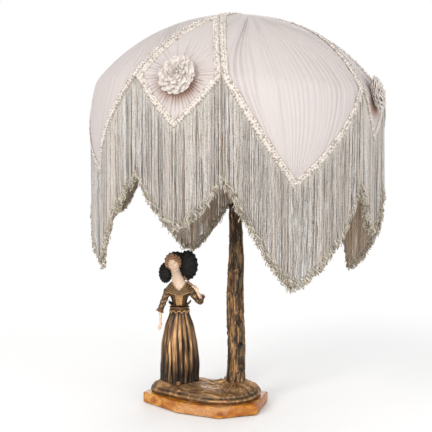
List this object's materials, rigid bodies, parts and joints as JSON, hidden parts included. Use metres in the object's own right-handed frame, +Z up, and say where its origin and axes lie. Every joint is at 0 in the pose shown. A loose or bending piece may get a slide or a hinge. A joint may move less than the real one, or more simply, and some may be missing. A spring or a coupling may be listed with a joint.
{
  "type": "figural table lamp",
  "caption": "Table lamp with a robed figure beside a tree trunk on a faceted stone plinth, under a domed silk shade with pointed panels and hanging fringe.",
  "frame": {"origin": "on the table, under the felt, on the tree trunk's axis", "axes": "+Z up, -Y towards the viewer of the picture, +X to the viewer's right"},
  "size_m": [0.5144, 0.5124, 0.686],
  "materials": {
    "silk": "satin gathered silk, blush cream",
    "silk_trim": "ruched silk, cream",
    "braid": "scalloped gimp braid, cream and rose brown",
    "fringe": "twisted strands, pale grey beige with brown ends",
    "frame_wire": "painted shade wire",
    "marble": "polished yellow veined marble",
    "felt": "green felt",
    "bronze": "dark brown bronze patina, rubbed high spots",
    "gilt_bronze": "golden brown bronze patina",
    "black_bronze": "near black patina",
    "ivory_tone": "ivory toned, carved and polished",
    "brass": "aged lacquered brass",
    "zinc_steel": "zinc plated",
    "nickel": "nickel plated lamp cap",
    "dark_plastic": "moulded, dark brown",
    "bulb_glass": "frosted lamp glass"
  },
  "bodies": {
    "stand": {"base_lock_nut": "zinc_steel", "base_washer": "zinc_steel", "bulb_base_left": "nickel", "bulb_base_right": "nickel", "bulb_glass_left": "bulb_glass", "bulb_glass_right": "bulb_glass", "cord_inlet_grommet": "dark_plastic", "felt_pad": "felt", "figure_arm_left": "ivory_tone", "figure_arm_right": "ivory_tone", "figure_belt": "gilt_bronze", "figure_bodice": "gilt_bronze", "figure_collar": "bronze", "figure_head_and_neck": "ivory_tone", "figure_head_bow": "black_bronze", "figure_ribbon": "black_bronze", "figure_screw": "zinc_steel", "figure_shoe": "gilt_bronze", "figure_skirt": "gilt_bronze", "figure_sleeve_left": "gilt_bronze", "figure_sleeve_right": "gilt_bronze", "ground_mound": "bronze", "marble_plinth": "marble", "shade_rest_nut": "brass", "shade_stem": "brass", "socket_cap_left": "brass", "socket_cap_right": "brass", "socket_cluster": "brass", "socket_interior_left": "dark_plastic", "socket_interior_right": "dark_plastic", "socket_shell_left": "brass", "socket_shell_right": "brass", "threaded_pipe": "zinc_steel", "trunk_cap": "brass", "trunk_casting": "bronze"},
    "shade": {"kite_braids": "braid", "kite_fringe_1": "fringe", "kite_fringe_2": "fringe", "kite_fringe_3": "fringe", "kite_fringe_4": "fringe", "kite_wires": "frame_wire", "leaf_braids": "braid", "leaf_fringe_1": "fringe", "leaf_fringe_2": "fringe", "leaf_fringe_3": "fringe", "leaf_fringe_4": "fringe", "leaf_wires": "frame_wire", "shade_spider": "frame_wire", "silk_kite_panel_1": "silk", "silk_kite_panel_2": "silk", "silk_kite_panel_3": "silk", "silk_kite_panel_4": "silk", "silk_leaf_panel_1": "silk", "silk_leaf_panel_2": "silk", "silk_leaf_panel_3": "silk", "silk_leaf_panel_4": "silk", "silk_rosettes": "silk_trim"},
    "finial": {"shade_finial": "brass"},
    "key_left": {"switch_key_left": "dark_plastic"},
    "key_right": {"switch_key_right": "dark_plastic"}
  },
  "joints": [
    {"name": "shade_swivel", "type": "hinge", "parent": "stand", "child": "shade", "pos_m": [0.01303, 0, 0.66801], "axis": [0.0576, 0, 0.9983], "continuous": true},
    {"name": "finial_turn", "type": "hinge", "parent": "stand", "child": "finial", "pos_m": [0.01325, 0, 0.67181], "axis": [0.0576, 0, 0.9983], "continuous": true},
    {"name": "key_left_turn", "type": "hinge", "parent": "stand", "child": "key_left", "pos_m": [-0.03256, -0.02, 0.4613], "axis": [0, -1, 0], "continuous": true},
    {"name": "key_right_turn", "type": "hinge", "parent": "stand", "child": "key_right", "pos_m": [0.03256, -0.02, 0.4613], "axis": [0, -1, 0], "continuous": true}
  ]
}
